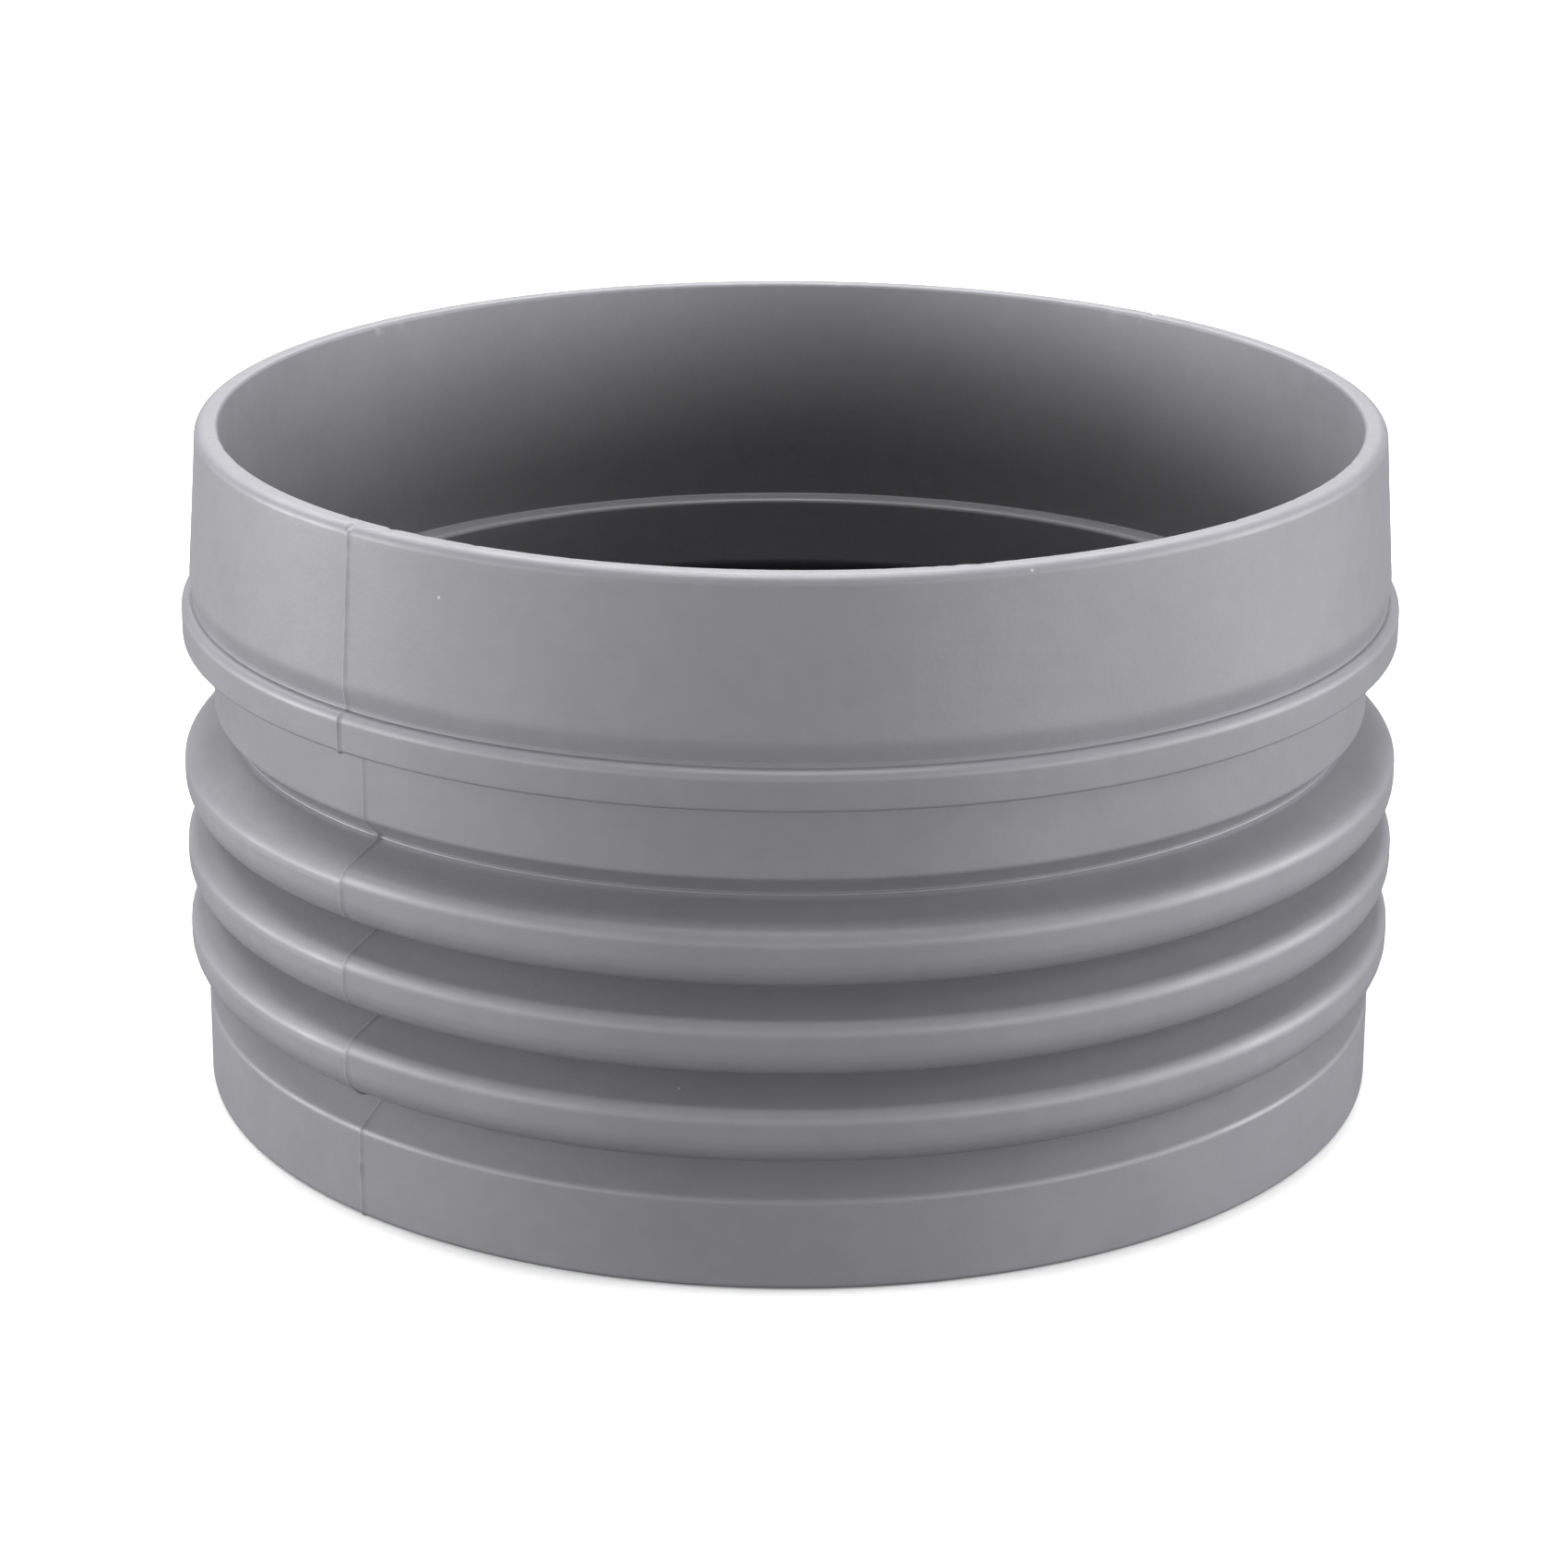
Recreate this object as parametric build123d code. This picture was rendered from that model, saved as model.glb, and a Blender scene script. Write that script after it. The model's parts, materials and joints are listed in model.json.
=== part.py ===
from build123d import *
import os

# Bellows coupling sleeve, moulded in one piece from soft elastomer: an upper cuff with a
# clamp bead, a neck, three rounded folds and a lower cuff. All sizes are in millimetres.
# The origin is the centre of the base, and +Z is the axis of the passage, towards the lip.
# The moulding is cut by level planes into sections, so that the sections that flex can move.

# Driving dimensions: the passage and the two sockets
SOCKET_R = 55.0           # both sockets take a 110 mm spigot
PASSAGE_R = 52.7          # through the ledges and the roots of the folds
HEIGHT = 65.9             # base to the top of the lip
UPPER_LEDGE_Z = 42.3      # the upper spigot stops here
UPPER_LEDGE_ROUND = 1.2
LOWER_LEDGE_Z = 8.0       # the lower spigot stops here

# Driving dimensions: the upper cuff, its lip and its bead
LIP_R = 57.2              # outer radius at the lip
LIP_ROUND = 0.8
LIP_INNER_ROUND = 0.4
CUFF_FOOT_R = 58.25       # the cuff widens a little towards the bead
CUFF_FOOT_Z = 50.0
GROOVE_R = 57.95          # shallow groove over the bead
GROOVE_Z = 49.55
BEAD_R = 59.1
BEAD_TOP_Z = 49.1
BEAD_BOTTOM_Z = 45.4
BEAD_TOP_ROUND = 0.95
BEAD_ROUND = 0.35

# Driving dimensions: the neck and its undercut, which runs in at 45 degrees
NECK_R = 56.3
NECK_BOTTOM_Z = 38.35
NECK_ROUND = 0.6
ROOT_R = 54.4             # outer radius at the bottom of every groove
NECK_ROOT_Z = 36.35       # level of the groove under the neck

# Driving dimensions: the folds
FOLDS = 3
PITCH = 8.3
TOP_CREST_Z = 31.6        # widest level of the top fold
CREST_R = 59.4
CREST_HALF = 2.8          # crest to the fold's underside
BAND_HALF = 1.0           # half the height of the band that keeps its shape
FLANK_RISE = 0.42         # the upper flank falls this much for each millimetre outwards
FLANK_ROUND = 1.6
UNDER_ROUND = 2.75
GROOVE_HEIGHT = 0.9       # opening of a groove at its root
GROOVE_ROUND = 0.42
WALL = 1.6                # wall of the folds

# Driving dimensions: the lower cuff
LOWER_R = 57.9
SHOULDER_Z = 8.6          # level where the shoulder meets the cuff's outer wall
SHOULDER_ROUND = 0.8
BASE_RIM_HEIGHT = 1.4
BASE_ROUND = 0.5

# Levels of the cuts between sections
LIP_CUT_Z = HEIGHT - 2.2
SHOULDER_CUT_Z = LOWER_LEDGE_Z

crest_levels = [TOP_CREST_Z - PITCH * number for number in range(FOLDS)]
fold_names = ["top_fold", "middle_fold", "bottom_fold"]


def flank_level(crest_z, radius):
    """Level of a fold's upper flank at a radius, on its outer side."""
    return crest_z + CREST_HALF + FLANK_RISE * (CREST_R - 0.8 - radius)


def outer_corners():
    """Corners of the outer outline, top to bottom, each with its radius, level and rounding."""
    corners = [
        (LIP_R, HEIGHT, LIP_ROUND),
        (CUFF_FOOT_R, CUFF_FOOT_Z, 0.2),
        (GROOVE_R, GROOVE_Z, 0.2),
        (GROOVE_R, BEAD_TOP_Z, 0.15),
        (BEAD_R, BEAD_TOP_Z, BEAD_TOP_ROUND),
        (BEAD_R, BEAD_BOTTOM_Z, BEAD_ROUND),
        (NECK_R, BEAD_BOTTOM_Z, 0.2),
        (NECK_R, NECK_BOTTOM_Z, NECK_ROUND),
        (ROOT_R, NECK_BOTTOM_Z - (NECK_R - ROOT_R), 0.1),
    ]
    for crest_z in crest_levels:
        under_z = crest_z - CREST_HALF
        corners += [
            (ROOT_R, flank_level(crest_z, ROOT_R), 0.1 if crest_z == TOP_CREST_Z else GROOVE_ROUND),
            (CREST_R, flank_level(crest_z, CREST_R), FLANK_ROUND),
            (CREST_R, under_z, UNDER_ROUND),
            (ROOT_R, under_z, GROOVE_ROUND),
        ]
    last_root_z = crest_levels[-1] - CREST_HALF - GROOVE_HEIGHT
    corners += [
        (ROOT_R, last_root_z, GROOVE_ROUND),
        (LOWER_R, SHOULDER_Z, SHOULDER_ROUND),
        (LOWER_R, 0, BASE_ROUND),
    ]
    return corners


def inner_corners():
    """Corners of the inner outline, bottom to top, each with its radius, level and rounding."""
    corners = [
        (SOCKET_R, 0, BASE_ROUND),
        (SOCKET_R, LOWER_LEDGE_Z, 0.3),
        (PASSAGE_R, LOWER_LEDGE_Z, 0.4),
    ]
    for crest_z in reversed(crest_levels):
        floor_z = crest_z - CREST_HALF + WALL
        flank_drop = WALL * (1 + FLANK_RISE ** 2) ** 0.5
        corners += [
            (PASSAGE_R, floor_z, 0.5),
            (CREST_R - WALL, floor_z, 1.1),
            (CREST_R - WALL, flank_level(crest_z, CREST_R - WALL) - flank_drop, 0.7),
            (PASSAGE_R, flank_level(crest_z, PASSAGE_R) - flank_drop, 0.5),
        ]
    corners += [
        (PASSAGE_R, UPPER_LEDGE_Z, UPPER_LEDGE_ROUND),
        (SOCKET_R, UPPER_LEDGE_Z, 0.5),
        (SOCKET_R, HEIGHT, LIP_INNER_ROUND),
    ]
    return corners


def wall_face():
    """The wall's whole cross-section, in the XZ plane."""
    corners = outer_corners() + inner_corners()
    points = [(radius, level) for radius, level, _ in corners]
    radii = [rounding for _, _, rounding in corners]
    outline = FilletPolyline(*points, radius=radii, close=True)
    return Plane.XZ * make_face(outline)


def section(wall, bottom_z, top_z):
    """The part of the moulding between two levels, as a closed ring."""
    middle_r = (PASSAGE_R + CREST_R) / 2
    band = Rectangle(20, top_z - bottom_z)
    cut = wall & (Plane.XZ * (Location((middle_r, (bottom_z + top_z) / 2)) * band))
    return revolve(cut, Axis.Z, 360)


def levels():
    """Every section's name with its lower and upper cut."""
    cuts = {
        "rim_lip": (LIP_CUT_Z, HEIGHT + 1),
        "upper_cuff": (GROOVE_Z, LIP_CUT_Z),
        "clamp_bead": (BEAD_BOTTOM_Z, GROOVE_Z),
        "upper_neck": (UPPER_LEDGE_Z, BEAD_BOTTOM_Z),
        "stop_ledge": (NECK_BOTTOM_Z, UPPER_LEDGE_Z),
        "neck_undercut": (NECK_ROOT_Z, NECK_BOTTOM_Z),
    }
    groove_z = NECK_ROOT_Z
    for number, (name, crest_z) in enumerate(zip(fold_names, crest_levels), start=1):
        cuts[f"flank_{number}"] = (crest_z + BAND_HALF, groove_z)
        cuts[name] = (crest_z - BAND_HALF, crest_z + BAND_HALF)
        groove_z = crest_z - CREST_HALF - GROOVE_HEIGHT / 2
        cuts[f"underside_{number}"] = (groove_z, crest_z - BAND_HALF)
    cuts["lower_shoulder"] = (SHOULDER_CUT_Z, groove_z)
    cuts["lower_cuff"] = (BASE_RIM_HEIGHT, SHOULDER_CUT_Z)
    cuts["base_rim"] = (-1, BASE_RIM_HEIGHT)
    return cuts


os.makedirs("parts", exist_ok=True)
whole_wall = wall_face()
for node, (bottom_z, top_z) in levels().items():
    export_step(section(whole_wall, bottom_z, top_z), f"parts/{node}.step")
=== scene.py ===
import bpy
import json
import math
import numpy as np
from mathutils import Matrix, Vector


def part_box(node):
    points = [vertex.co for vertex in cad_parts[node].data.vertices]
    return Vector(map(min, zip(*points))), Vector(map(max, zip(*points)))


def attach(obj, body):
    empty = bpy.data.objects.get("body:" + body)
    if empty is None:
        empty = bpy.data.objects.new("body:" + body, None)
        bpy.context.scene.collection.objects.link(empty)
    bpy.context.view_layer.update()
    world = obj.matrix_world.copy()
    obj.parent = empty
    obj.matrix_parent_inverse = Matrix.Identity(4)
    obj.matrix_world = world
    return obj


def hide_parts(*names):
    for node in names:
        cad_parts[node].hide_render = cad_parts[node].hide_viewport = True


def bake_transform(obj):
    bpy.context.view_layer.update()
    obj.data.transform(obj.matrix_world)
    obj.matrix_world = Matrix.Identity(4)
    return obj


# The looks of a bellows coupling sleeve: one soft grey moulding, open at both ends. Each section
# of the moulding is a closed ring of its own, and all rings are cut from one shared surface, so
# that they meet without a seam. Sizes of the outline are in millimetres, as in the CAD model,
# and everything placed in Blender is in metres.
#
# Order of the script: the outline of the wall, the moulded surface round it, the rings, their
# material, what each ring rides on, the camera, the stage and the light.

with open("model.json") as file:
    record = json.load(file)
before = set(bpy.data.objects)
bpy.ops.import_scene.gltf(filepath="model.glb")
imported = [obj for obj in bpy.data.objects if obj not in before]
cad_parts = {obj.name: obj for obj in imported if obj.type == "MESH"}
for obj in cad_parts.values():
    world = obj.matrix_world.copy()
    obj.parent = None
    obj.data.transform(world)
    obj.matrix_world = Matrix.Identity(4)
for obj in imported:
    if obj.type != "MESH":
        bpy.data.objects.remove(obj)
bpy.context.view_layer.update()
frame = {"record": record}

MM = 0.001


def node_levels(node):
    """Lowest and highest level of a CAD node, in millimetres."""
    low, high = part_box(node)
    return low.z / MM, high.z / MM


# ---------------------------------------------------------------- outline of the wall, in mm
FOLD_NODES = ["top_fold", "middle_fold", "bottom_fold"]
CREST_LEVELS = [sum(node_levels(node)) / 2 for node in FOLD_NODES]
HEIGHT = node_levels("rim_lip")[1]
UPPER_LEDGE_Z = node_levels("stop_ledge")[1]
NECK_BOTTOM_Z = node_levels("stop_ledge")[0]
BEAD_BOTTOM_Z = node_levels("clamp_bead")[0]
GROOVE_Z = node_levels("clamp_bead")[1]
LOWER_LEDGE_Z = node_levels("lower_cuff")[1]

SOCKET_R = 55.0                # bore of both cuffs
PASSAGE_R = 52.7               # bore between the cuffs
LIP_R = 57.2
LIP_ROUND = 1.0
LIP_INNER_ROUND = 0.4
CUFF_FOOT_R = 58.25            # the upper cuff widens a little from its lip to its foot
CUFF_FOOT_RISE = 1.6           # from the groove up to the foot
CUFF_FOOT_ROUND = 4.0
GROOVE_R = 57.95               # shallow groove between cuff and bead
BEAD_R = 59.1
BEAD_TOP_Z = GROOVE_Z - 0.45
BEAD_TOP_ROUND = 0.95
BEAD_ROUND = 0.35
NECK_R = 56.3
NECK_ROUND = 0.6
ROOT_R = 54.4                  # bottom of the grooves between the folds
UPPER_LEDGE_ROUND = 0.5
CREST_R = 59.4
CREST_HALF = 2.8               # half the height of the band round a crest
FLANK_RISE = 0.42              # rise of a flank for each millimetre inwards
FLANK_START = 0.8              # how far inside the crest a flank's own slope is measured from
FLANK_ROUND = 1.6
UNDER_ROUND = 2.75
GROOVE_HEIGHT = 0.9            # straight bottom of the groove over the lower shoulder
GROOVE_ROUND = 0.42
WALL = 1.6                     # thickness of the folds
FOLD_CAVITY_ROUNDS = (0.5, 1.1, 0.7, 0.5)    # inside of a fold, from its floor round to its roof
LOWER_R = 57.9
LOWER_LEDGE_ROUND = 0.4
SHOULDER_Z = 8.6
SHOULDER_ROUND = 0.8
BASE_ROUND = 0.5
SHARP = 0.1                    # rounding of corners that look sharp
CRISP = 0.2                    # and of those that are nearly so

ARC_STEP = math.radians(9)     # finest turn between two rows on a round stretch
ROW_STEP = 0.55                # longest straight run between two rows


def flank_level(crest_z, radius):
    """Level of a fold's upper flank at a radius, on its outer side."""
    return crest_z + CREST_HALF + FLANK_RISE * (CREST_R - FLANK_START - radius)


def outer_corners():
    """Corners of the outer outline, top to bottom, each with its radius, level and rounding."""
    corners = [
        (LIP_R, HEIGHT, LIP_ROUND),
        (CUFF_FOOT_R, GROOVE_Z + CUFF_FOOT_RISE, CUFF_FOOT_ROUND),
        (GROOVE_R, GROOVE_Z, CRISP),
        (GROOVE_R, BEAD_TOP_Z, 0.15),
        (BEAD_R, BEAD_TOP_Z, BEAD_TOP_ROUND),
        (BEAD_R, BEAD_BOTTOM_Z, BEAD_ROUND),
        (NECK_R, BEAD_BOTTOM_Z, CRISP),
        (NECK_R, NECK_BOTTOM_Z, NECK_ROUND),
        (ROOT_R, NECK_BOTTOM_Z - (NECK_R - ROOT_R), SHARP),
    ]
    for crest_z in CREST_LEVELS:
        under_z = crest_z - CREST_HALF
        root_round = SHARP if crest_z == CREST_LEVELS[0] else GROOVE_ROUND
        corners += [
            (ROOT_R, flank_level(crest_z, ROOT_R), root_round),
            (CREST_R, flank_level(crest_z, CREST_R), FLANK_ROUND),
            (CREST_R, under_z, UNDER_ROUND),
            (ROOT_R, under_z, GROOVE_ROUND),
        ]
    corners += [
        (ROOT_R, CREST_LEVELS[-1] - CREST_HALF - GROOVE_HEIGHT, GROOVE_ROUND),
        (LOWER_R, SHOULDER_Z, SHOULDER_ROUND),
        (LOWER_R, 0, BASE_ROUND),
    ]
    return corners


def inner_corners():
    """Corners of the inner outline, bottom to top, each with its radius, level and rounding."""
    corners = [
        (SOCKET_R, 0, BASE_ROUND),
        (SOCKET_R, LOWER_LEDGE_Z, 0.3),
        (PASSAGE_R, LOWER_LEDGE_Z, LOWER_LEDGE_ROUND),
    ]
    flank_drop = WALL * math.hypot(1, FLANK_RISE)
    cavity_r = CREST_R - WALL
    floor_in, floor_out, roof_out, roof_in = FOLD_CAVITY_ROUNDS
    for crest_z in reversed(CREST_LEVELS):
        floor_z = crest_z - CREST_HALF + WALL
        corners += [
            (PASSAGE_R, floor_z, floor_in),
            (cavity_r, floor_z, floor_out),
            (cavity_r, flank_level(crest_z, cavity_r) - flank_drop, roof_out),
            (PASSAGE_R, flank_level(crest_z, PASSAGE_R) - flank_drop, roof_in),
        ]
    corners += [
        (PASSAGE_R, UPPER_LEDGE_Z, UPPER_LEDGE_ROUND),
        (SOCKET_R, UPPER_LEDGE_Z, 0.15),
        (SOCKET_R, HEIGHT, LIP_INNER_ROUND),
    ]
    return corners


def arc_points(before, corner, after, rounding):
    """Points of the arc that rounds a corner, from its first tangent point to its last."""
    corner, before, after = (np.array(p[:2], float) for p in (corner, before, after))
    way_in = (corner - before) / np.linalg.norm(corner - before)
    way_out = (after - corner) / np.linalg.norm(after - corner)
    turn = math.acos(float(np.clip(way_in @ way_out, -1, 1)))
    reach = rounding * math.tan(turn / 2)
    side = np.sign(way_in[0] * way_out[1] - way_in[1] * way_out[0])
    start = corner - reach * way_in
    centre = start + side * rounding * np.array([-way_in[1], way_in[0]])
    steps = max(3, math.ceil(turn / ARC_STEP))
    angles = side * np.linspace(0, turn, steps + 1)
    across, up = start - centre
    return [centre + np.array([across * math.cos(a) - up * math.sin(a),
                               across * math.sin(a) + up * math.cos(a)]) for a in angles]


def rounded(corners, before, after):
    """Rows along a chain of rounded corners, with straight runs cut into short ones."""
    chain = [before] + corners + [after]
    rows = []
    for left, corner, right in zip(chain, corners, chain[2:]):
        arc = arc_points(left, corner, right, corner[2])
        if rows:
            run = arc[0] - rows[-1]
            cuts = math.ceil(np.linalg.norm(run) / ROW_STEP)
            rows += [rows[-1] + run * k / cuts for k in range(1, cuts)]
        rows += arc
    return np.array(rows)


def with_levels(rows, levels):
    """The chain with one more row where it crosses each level."""
    for level in levels:
        heights = rows[:, 1]
        if np.min(np.abs(heights - level)) < 1e-4:
            continue
        crossing = np.flatnonzero((heights[:-1] - level) * (heights[1:] - level) < 0)
        if len(crossing):
            k = crossing[0]
            share = (level - heights[k]) / (heights[k + 1] - heights[k])
            rows = np.insert(rows, k + 1, rows[k] + share * (rows[k + 1] - rows[k]), axis=0)
    return rows


SECTIONS = [node for body in frame["record"]["behaviour"]["bodies"].values() for node in body]
CUTS = sorted({round(level, 3) for node in SECTIONS for level in node_levels(node)})[1:-1]
RIB_Z = flank_level(CREST_LEVELS[0], ROOT_R) + 0.1     # thin rib along the root under the neck
RIB_LEVELS = [RIB_Z + 0.08 * k for k in range(-6, 7)]
outer, inner = outer_corners(), inner_corners()
outer_rows = with_levels(rounded(outer, inner[-1], inner[0]), CUTS + RIB_LEVELS)
inner_rows = with_levels(rounded(inner, outer[-1], outer[0]), CUTS)
rows = np.vstack([outer_rows, inner_rows])
OUTER_COUNT = len(outer_rows)

# ---------------------------------------------------------------- the moulded surface, in mm
COLUMN_STEP = 0.6              # degrees between two columns
PARTING_OFFSETS = [0, 0.06, 0.12, 0.19, 0.27, 0.38, 0.52]    # close columns at the parting lines
FLASH_HEIGHT = 0.1             # the flash left where the two halves of the mould met
FLASH_WIDTHS = (0.12, 0.32)    # steep on one side of its ridge, gentle on the other
FLASH_UNEVENNESS = 0.35
BEAD_FLASH = 0.08              # the flash stands prouder on the bead
BEAD_FLASH_END = 0.3           # and stops this far under the bead's top
NUB_LEVELS = {RIB_Z: 0.35, CREST_LEVELS[2] - CREST_HALF: 0.3, 4.9: 0.2}    # little lumps on it
NUB_LENGTH = 0.35
MISMATCH = 0.2                 # one mould half leaves the corner over a crest this much fuller
MISMATCH_STEP = 0.12           # width of the step between the halves
CORNER_RISE = 2.4              # crest to that corner
CORNER_WIDTH = 0.8
RIB_HEIGHT = 0.24
RIB_WIDTH = 0.17
RIB_GAP = 0.6                  # the rib fades out this close to a parting line
WAVINESS = 0.035
WAVES_ROUND = [360 / 2, 360 / 5, 360 / 11]    # lengths of the unevenness, in degrees
WAVES_UP = [31, 17]                           # and in millimetres
BITE_DEPTH = 0.35              # ragged spots where the lip was trimmed
BITE_WAVES = [3.1, 4.7, 1.9, 29.0, 47.0]
BITE_ONSET = 0.4               # the lip is ragged only where its waves rise over this
BITE_WIDTH = 0.45
NICK_DEPTH = 0.3               # notch in the lip at a parting line
NICK_WIDTH = 0.35
NICK_HEIGHT = 0.5


def columns():
    """Angles of the surface's columns: even all round, and close together at the parting lines."""
    near = math.degrees(PARTING_OFFSETS[-1] / CREST_R)
    even = np.arange(0, 360, COLUMN_STEP)
    keep = [a for a in even if near < a % 180 < 180 - near]
    fine = [math.degrees(side * offset / CREST_R) for offset in PARTING_OFFSETS for side in (1, -1)]
    close = [round((line + a) % 360, 6) for line in (0, 180) for a in fine]
    return np.radians(sorted(set(keep + close)))


angles = columns()


def row_normals(chain):
    """Outward direction of the wall at each row of the closed outline."""
    along = np.roll(chain, -1, axis=0) - np.roll(chain, 1, axis=0)
    normal = np.stack([-along[:, 1], along[:, 0]], axis=1)
    normal /= np.linalg.norm(normal, axis=1, keepdims=True)
    return normal * np.sign(normal[np.argmax(chain[:, 0]), 0])


def waves(x, seed, lengths):
    """Smooth unevenness along x, between about -1 and 1: sines of the given wavelengths."""
    draw = np.random.RandomState(seed)
    phases = draw.uniform(0, 2 * math.pi, len(lengths))
    sines = [np.sin(2 * math.pi * x / length + phase) for length, phase in zip(lengths, phases)]
    return sum(sines) / len(lengths)


def bell(x, width):
    """A smooth bump of height 1 at x = 0."""
    return np.exp(-(x / width) ** 2)


def flash_height(radius, level):
    """Height of the flash at each row."""
    steps = np.hypot(np.diff(radius, axis=0, prepend=radius[:1]),
                     np.diff(level, axis=0, prepend=level[:1]))
    uneven = waves(np.cumsum(steps), 3, [1.3, 2.9, 6.1])
    height = FLASH_HEIGHT * (1 + FLASH_UNEVENNESS * uneven)[:, None]
    height += BEAD_FLASH * ((level > BEAD_BOTTOM_Z) & (level < BEAD_TOP_Z - BEAD_FLASH_END))
    for nub_z, nub_height in NUB_LEVELS.items():
        height += nub_height * bell(level - nub_z, NUB_LENGTH)
    return height


def parting_distance():
    """Distance of each column from the nearest parting line, along the crest."""
    return ((angles[None, :] + math.pi / 2) % math.pi - math.pi / 2) * CREST_R


def lift_of_rows(radius, level):
    """How far the moulding stands proud of its outline, at each row and column."""
    is_outer = (np.arange(len(rows)) < OUTER_COUNT)[:, None]
    arc = parting_distance()
    across = np.sin(angles)[None, :]
    ridge = bell(arc, np.where(across > 0, *FLASH_WIDTHS))
    lift = is_outer * flash_height(radius, level) * ridge
    full_half = 0.5 - 0.5 * np.tanh(across * CREST_R / MISMATCH_STEP)
    for crest_z in CREST_LEVELS:
        on_fold = (radius > ROOT_R + 2) * is_outer
        corner = bell(level - crest_z - CORNER_RISE, CORNER_WIDTH) * on_fold
        lift = lift - MISMATCH * corner * (1 - full_half)
    rib = bell(level - RIB_Z, RIB_WIDTH) * is_outer
    lift = lift + RIB_HEIGHT * rib * (1 - bell(arc, RIB_GAP))
    around = np.degrees(angles)[None, :]
    lift = lift + WAVINESS * waves(around, 11, WAVES_ROUND) * waves(level, 12, WAVES_UP)
    ragged = np.clip(waves(angles[None, :] * LIP_R, 21, BITE_WAVES) - BITE_ONSET, 0, 1)
    from_edge = np.hypot(radius - SOCKET_R - 0.1, level - HEIGHT + 0.1)
    return lift - BITE_DEPTH * ragged * bell(from_edge, BITE_WIDTH)


def surface():
    """Points and normals of the whole moulding, one row of the outline by one column round it."""
    out = row_normals(rows)
    out_r, out_z = out[:, :1], out[:, 1:]
    radius, level = rows[:, :1], rows[:, 1:]
    lift = lift_of_rows(radius, level)
    notch = bell(parting_distance(), NICK_WIDTH) * bell(level - HEIGHT, NICK_HEIGHT)
    nick = NICK_DEPTH * notch * (radius > SOCKET_R + 1)
    r = radius + lift * out_r
    z = np.maximum(level + lift * out_z - nick, 0)
    grid = np.stack([r * np.cos(angles), r * np.sin(angles), z], axis=2)
    round_way = np.roll(grid, -1, axis=1) - np.roll(grid, 1, axis=1)
    down_way = np.roll(grid, -1, axis=0) - np.roll(grid, 1, axis=0)
    normal = np.cross(down_way, round_way)
    normal /= np.linalg.norm(normal, axis=2, keepdims=True)
    outward = np.stack([out_r * np.cos(angles), out_r * np.sin(angles), out_z + 0 * angles], axis=2)
    normal *= np.sign((normal * outward).sum(axis=2, keepdims=True))
    return grid * MM, normal


points, normals = surface()


def border_row(first, last, level, thin_side):
    """The row of a chain at a cut: where several rows lie level, the one where the wall is thinnest."""
    near = [k for k in range(first, last) if abs(rows[k, 1] - level) < 1e-3]
    return min(near, key=lambda k: thin_side * rows[k, 0])


def section_rows(node):
    """Rows of one ring: down its outer side, then up its inner side."""
    low, high = node_levels(node)
    count = len(rows)
    top_out = 0 if node == "rim_lip" else border_row(0, OUTER_COUNT, high, 1)
    low_out = OUTER_COUNT - 1 if node == "base_rim" else border_row(0, OUTER_COUNT, low, 1)
    low_in = OUTER_COUNT if node == "base_rim" else border_row(OUTER_COUNT, count, low, -1)
    top_in = count - 1 if node == "rim_lip" else border_row(OUTER_COUNT, count, high, -1)
    return list(range(top_out, low_out + 1)), list(range(low_in, top_in + 1))


def build_ring(node):
    """One closed ring of the moulding, with the shared surface's own normals on its two walls."""
    out_side, in_side = section_rows(node)
    loop = out_side + in_side
    around = len(angles)
    vertices = points[loop].reshape(-1, 3)
    vertex_normals = normals[loop].reshape(-1, 3)
    faces, caps = [], []
    for k in range(len(loop)):
        follow = (k + 1) % len(loop)
        is_cap = k in (len(out_side) - 1, len(loop) - 1)
        for c in range(around):
            d = (c + 1) % around
            faces.append((k * around + c, follow * around + c, follow * around + d, k * around + d))
            caps.append(is_cap)
    mesh = bpy.data.meshes.new(node)
    mesh.from_pydata(vertices.tolist(), [], faces)
    mesh.validate()
    mesh.polygons.foreach_set("use_smooth", [True] * len(mesh.polygons))
    corner = np.zeros(len(mesh.loops), int)
    mesh.loops.foreach_get("vertex_index", corner)
    loop_normals = vertex_normals[corner]
    flat = np.repeat(np.array(caps), 4)
    face_normals = np.array([p.normal[:] for p in mesh.polygons])
    loop_normals[flat] = np.repeat(face_normals, 4, axis=0)[flat]
    mesh.normals_split_custom_set(loop_normals.tolist())
    ring = bpy.data.objects.new(node + "_moulding", mesh)
    bpy.context.scene.collection.objects.link(ring)
    return ring


# ---------------------------------------------------------------- material
BASE_GREY = (0.14, 0.14, 0.153)
DUST_GREY = (0.42, 0.42, 0.40)
NOISE_SPAN = (0.3, 0.7)        # the part of a noise texture's range that is used

# Scale of each pattern, in patches per metre.
CLOUD_SCALE = 55
GRAIN_SCALE = 520
GLOSS_SCALE = 150
DUST_SCALE = 75
BUMP_SCALE = 2200


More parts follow.
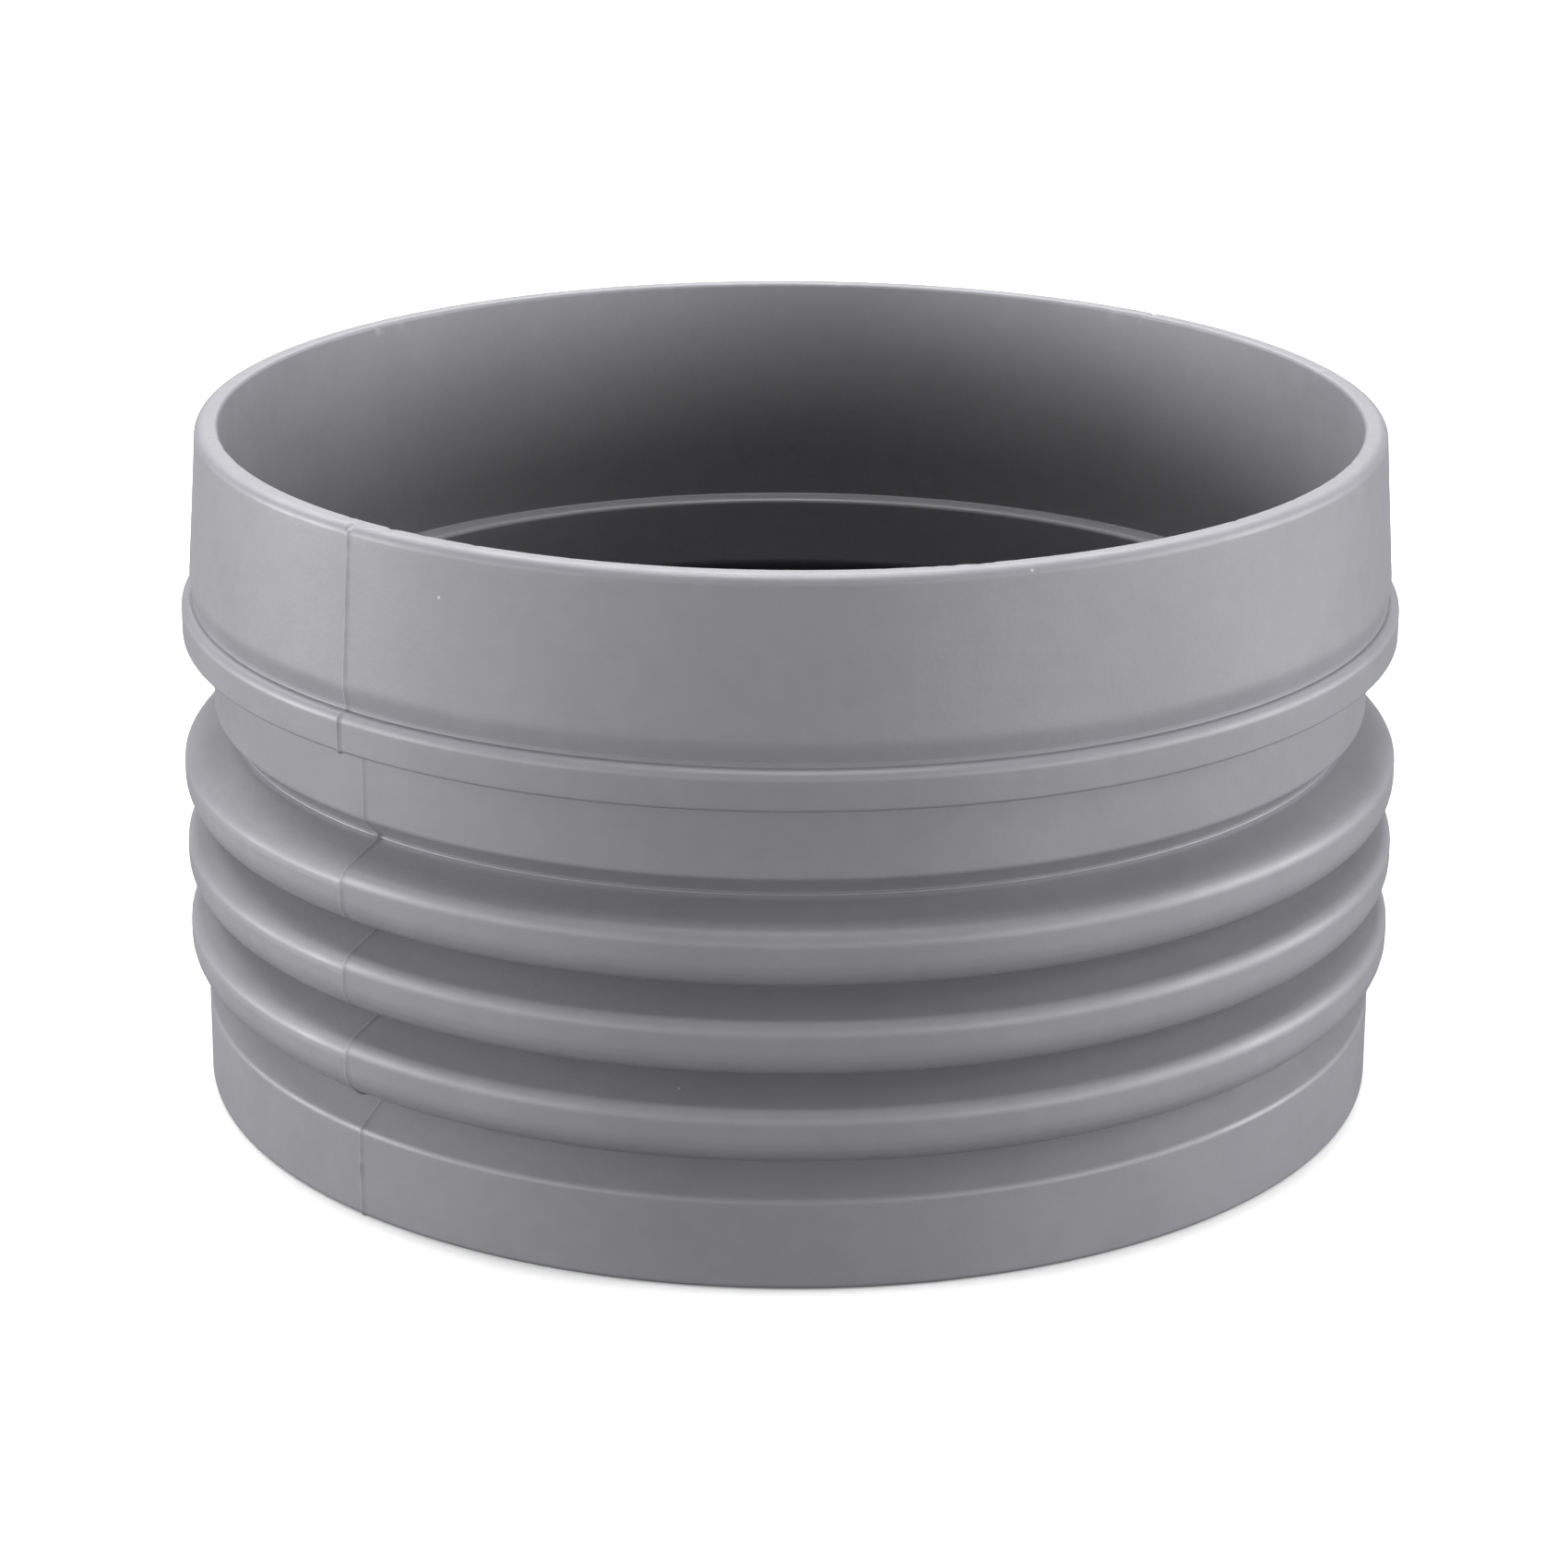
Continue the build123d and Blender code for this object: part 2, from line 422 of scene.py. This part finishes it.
def rubber():
    """Soft matt elastomer: mottled grey, a fine moulded grain and a few specks of dust."""
    material = bpy.data.materials.new("grey_elastomer")
    material.use_nodes = True
    nodes, links = material.node_tree.nodes, material.node_tree.links
    shader = nodes["Principled BSDF"]
    shader.inputs["Specular IOR Level"].default_value = 0.5
    place = nodes.new("ShaderNodeTexCoord").outputs["Object"]

    def noise(scale, detail):
        """Noise in the object's own space. Its scale is in patches per metre."""
        texture = nodes.new("ShaderNodeTexNoise")
        texture.inputs["Scale"].default_value = scale
        texture.inputs["Detail"].default_value = detail
        links.new(place, texture.inputs["Vector"])
        return texture.outputs["Fac"]

    def spread(value, span, result):
        """The value, with the range in span stretched to the range in result."""
        ramp = nodes.new("ShaderNodeMapRange")
        for name, number in zip(("From Min", "From Max", "To Min", "To Max"), span + result):
            ramp.inputs[name].default_value = number
        links.new(value, ramp.inputs["Value"])
        return ramp.outputs["Result"]

    def product(left, right):
        """Two values multiplied."""
        times = nodes.new("ShaderNodeMath")
        times.operation = "MULTIPLY"
        links.new(left, times.inputs[0])
        links.new(right, times.inputs[1])
        return times.outputs[0]

    cloudy = spread(noise(CLOUD_SCALE, 3), NOISE_SPAN, (0.955, 1.045))
    grainy = spread(noise(GRAIN_SCALE, 2), NOISE_SPAN, (0.975, 1.025))
    tinted = nodes.new("ShaderNodeVectorMath")
    tinted.operation = "SCALE"
    tinted.inputs[0].default_value = BASE_GREY
    links.new(product(cloudy, grainy), tinted.inputs["Scale"])

    dust = nodes.new("ShaderNodeTexVoronoi")
    dust.inputs["Scale"].default_value = DUST_SCALE
    links.new(place, dust.inputs["Vector"])
    speckled = nodes.new("ShaderNodeMix")
    speckled.data_type = "RGBA"
    speck = spread(dust.outputs["Distance"], (0.008, 0.016), (0.45, 0.0))
    links.new(speck, speckled.inputs["Factor"])
    links.new(tinted.outputs["Vector"], speckled.inputs["A"])
    speckled.inputs["B"].default_value = DUST_GREY + (1,)
    links.new(speckled.outputs["Result"], shader.inputs["Base Color"])

    gloss = spread(noise(GLOSS_SCALE, 4), NOISE_SPAN, (0.46, 0.56))
    links.new(gloss, shader.inputs["Roughness"])
    grain = nodes.new("ShaderNodeBump")
    grain.inputs["Strength"].default_value = 0.25
    grain.inputs["Distance"].default_value = 0.00006
    links.new(noise(BUMP_SCALE, 3), grain.inputs["Height"])
    links.new(grain.outputs["Normal"], shader.inputs["Normal"])
    return material


grey_elastomer = rubber()

# ---------------------------------------------------------------- pieces and how they move
BODIES = frame["record"]["behaviour"]["bodies"]

# A web's rings keep their place and ride on no body; every other ring rides on the empty of its body.
for body, members in BODIES.items():
    for node in members:
        ring = build_ring(node)
        ring.data.materials.append(grey_elastomer)
        if "web" in body:
            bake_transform(ring)
        else:
            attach(ring, body)
        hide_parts(node)

# ---------------------------------------------------------------- camera
VIEW_AZIMUTH = math.radians(-47.4)
VIEW_ELEVATION = math.radians(19.2)
VIEW_DISTANCE = 0.4302
AIM = Vector((0, 0, 0.0275))
ROLL = math.radians(0.28)
LENS = 99.3
SENSOR_WIDTH = 36
SHIFT_X = -0.0035

back = Vector((math.sin(VIEW_AZIMUTH) * math.cos(VIEW_ELEVATION),
               -math.cos(VIEW_AZIMUTH) * math.cos(VIEW_ELEVATION), math.sin(VIEW_ELEVATION)))
camera_data = bpy.data.cameras.new("camera")
camera_data.sensor_width = SENSOR_WIDTH
camera_data.lens = LENS
camera_data.shift_x = SHIFT_X
camera_data.clip_start = 0.01
camera = bpy.data.objects.new("camera", camera_data)
camera.location = AIM + back * VIEW_DISTANCE
camera.rotation_mode = "QUATERNION"
roll = Matrix.Rotation(ROLL, 3, "Z").to_quaternion()
camera.rotation_quaternion = (-back).to_track_quat("-Z", "Y") @ roll
bpy.context.scene.collection.objects.link(camera)
bpy.context.scene.camera = camera

# ---------------------------------------------------------------- stage and studio light
right = Vector((math.cos(VIEW_AZIMUTH), math.sin(VIEW_AZIMUTH), 0))
away = Vector((-math.sin(VIEW_AZIMUTH), math.cos(VIEW_AZIMUTH), 0))
FLOOR_RADIUS = 0.85
FLOOR_SIDES = 96
FLOOR_GREY = 0.9               # as the camera sees it
FLOOR_BOUNCE = 0.12            # and as it lights the sleeve from below


def floor():
    """A plain pale floor, round, and no wider than the softboxes light it evenly."""
    turns = [2 * math.pi * k / FLOOR_SIDES for k in range(FLOOR_SIDES)]
    rim = [(FLOOR_RADIUS * math.cos(a), FLOOR_RADIUS * math.sin(a), 0) for a in turns]
    mesh = bpy.data.meshes.new("floor")
    mesh.from_pydata(rim, [], [tuple(range(FLOOR_SIDES))])
    sheet = bpy.data.objects.new("floor", mesh)
    material = bpy.data.materials.new("pale_floor")
    material.use_nodes = True
    nodes, links = material.node_tree.nodes, material.node_tree.links
    shown = nodes.new("ShaderNodeBsdfDiffuse")
    shown.inputs["Color"].default_value = (FLOOR_GREY, FLOOR_GREY, FLOOR_GREY, 1)
    bounced = nodes.new("ShaderNodeBsdfDiffuse")
    bounced.inputs["Color"].default_value = (FLOOR_BOUNCE, FLOOR_BOUNCE, FLOOR_BOUNCE, 1)
    path = nodes.new("ShaderNodeLightPath")
    mix = nodes.new("ShaderNodeMixShader")
    links.new(path.outputs["Is Camera Ray"], mix.inputs[0])
    links.new(bounced.outputs[0], mix.inputs[1])
    links.new(shown.outputs[0], mix.inputs[2])
    links.new(mix.outputs[0], nodes["Material Output"].inputs["Surface"])
    sheet.data.materials.append(material)
    bpy.context.scene.collection.objects.link(sheet)


def softbox(name, way, size, power):
    """A rectangular area light that faces the middle of the sleeve."""
    data = bpy.data.lights.new(name, "AREA")
    data.shape = "RECTANGLE"
    data.size, data.size_y = size
    data.energy = power
    light = bpy.data.objects.new(name, data)
    light.visible_camera = False
    light.location = LIGHT_AIM + way * LIGHT_DISTANCE
    light.rotation_mode = "QUATERNION"
    light.rotation_quaternion = (-way).to_track_quat("-Z", "Y")
    bpy.context.scene.collection.objects.link(light)


def direction(round_degrees, up_degrees):
    """A direction: degrees round from the camera's side to its right, and degrees above level."""
    turn, rise = math.radians(round_degrees), math.radians(up_degrees)
    level = right * math.sin(turn) - away * math.cos(turn)
    return level * math.cos(rise) + Vector((0, 0, math.sin(rise)))


# Every softbox: degrees round and up, its width and height in metres, and its power in watts.
# The long, low strips light the walls, the boxes behind light the inside and its far edges, and
# the one above lights the lip and the ledge inside.
SOFTBOXES = {
    "front_strip": (0, 6, (0.6, 0.2), 1.9),
    "front_right_strip": (45, 6, (0.6, 0.2), 6.3),
    "right_strip": (90, 6, (0.6, 0.2), 8.2),
    "right_box": (90, 22, (0.5, 0.35), 5.2),
    "back_right_box": (135, 45, (0.5, 0.5), 2.6),
    "back_box": (180, 45, (0.6, 0.5), 8.5),
    "back_left_box": (225, 45, (0.5, 0.5), 5.9),
    "left_strip": (270, 6, (0.6, 0.2), 12.4),
    "left_box": (270, 22, (0.5, 0.35), 2.0),
    "front_left_strip": (315, 6, (0.6, 0.2), 4.7),
    "top_box": (0, 89.9, (0.45, 0.45), 12.5),
}
LIGHT_DISTANCE = 1.0
LIGHT_AIM = Vector((0, 0, 0.035))
WORLD_LIGHT = 0.02

floor()
for name, (around, up, size, power) in SOFTBOXES.items():
    softbox(name, direction(around, up), size, power)



def studio():
    """The room round the stage: shown white, though it gives hardly any light."""
    world = bpy.data.worlds.new("studio")
    world.use_nodes = True
    nodes, links = world.node_tree.nodes, world.node_tree.links
    nodes["Background"].inputs["Color"].default_value = (1, 1, 1, 1)
    shown = nodes.new("ShaderNodeMapRange")
    shown.inputs["To Min"].default_value = WORLD_LIGHT
    shown.inputs["To Max"].default_value = 1.0
    links.new(nodes.new("ShaderNodeLightPath").outputs["Is Camera Ray"], shown.inputs["Value"])
    links.new(shown.outputs["Result"], nodes["Background"].inputs["Strength"])
    bpy.context.scene.world = world


studio()
bpy.context.scene.view_settings.view_transform = "Standard"
